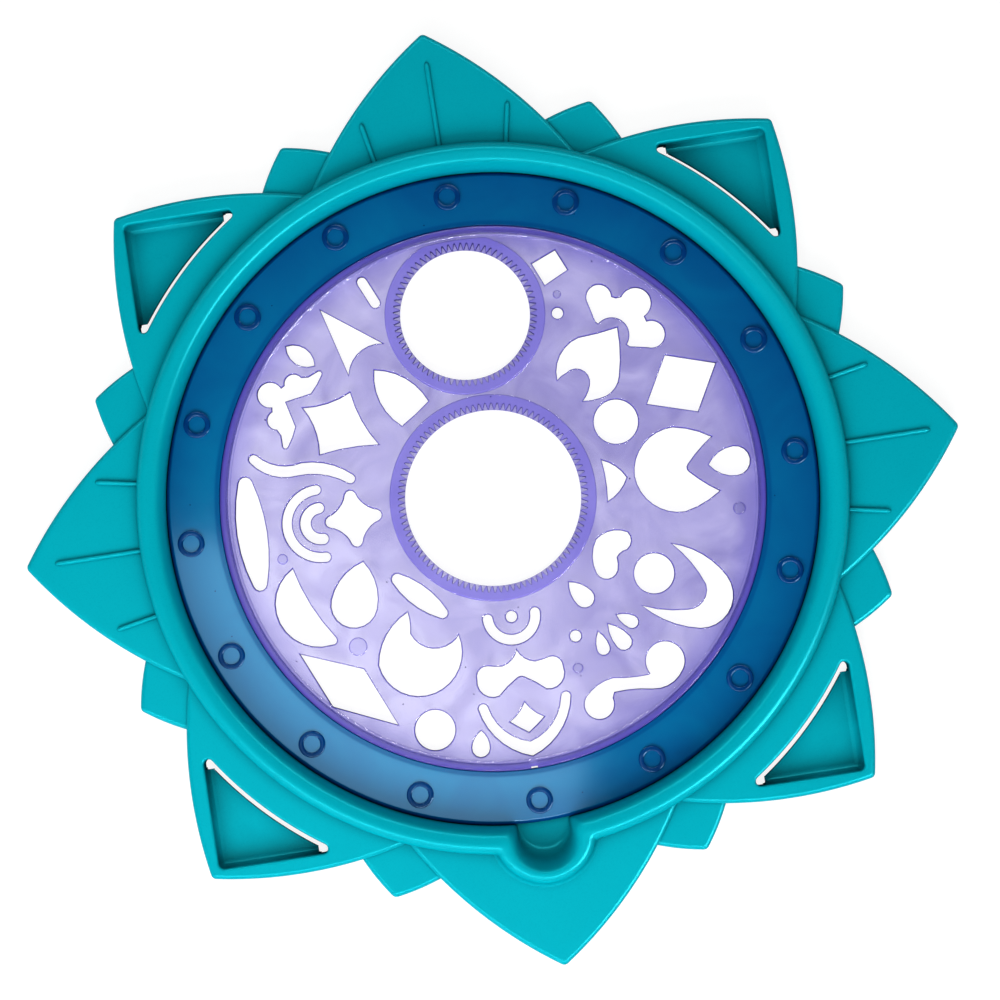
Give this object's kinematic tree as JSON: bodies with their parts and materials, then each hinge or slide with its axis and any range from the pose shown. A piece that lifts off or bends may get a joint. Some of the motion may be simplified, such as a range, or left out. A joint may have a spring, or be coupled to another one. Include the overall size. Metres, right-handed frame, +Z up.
{
  "type": "mandala drawing frame",
  "caption": "Petal-shaped drawing frame that holds a square sheet by its corners, with a turning index ring and a lift-out stencil plate with geared holes.",
  "frame": {"origin": "on the table, under the middle of the large geared hole", "axes": "+Z up, thumb notch toward -Y, a large petal's tip on +X"},
  "size_m": [0.2592, 0.2592, 0.013],
  "materials": {
    "teal_moulding": "opaque moulded plastic, satin gloss",
    "blue_moulding": "translucent moulded plastic, glossy",
    "purple_moulding": "translucent moulded plastic, glossy",
    "foot_rubber": "matte non-slip pad"
  },
  "bodies": {
    "base": {"base_frame": "teal_moulding", "foot_1": "foot_rubber", "foot_2": "foot_rubber", "foot_3": "foot_rubber", "foot_4": "foot_rubber", "foot_5": "foot_rubber", "foot_6": "foot_rubber", "foot_7": "foot_rubber", "foot_8": "foot_rubber"},
    "ring": {"index_ring": "blue_moulding"},
    "plate": {"stencil_plate": "purple_moulding"}
  },
  "joints": [
    {"name": "ring_turn", "type": "hinge", "parent": "base", "child": "ring", "pos_m": [0, 0, 0.003], "axis": [0, 0, 1], "continuous": true},
    {"name": "plate_lift", "type": "slide", "parent": "ring", "child": "plate", "axis": [0, 0, 1], "range_m": [0, 0.03]}
  ]
}
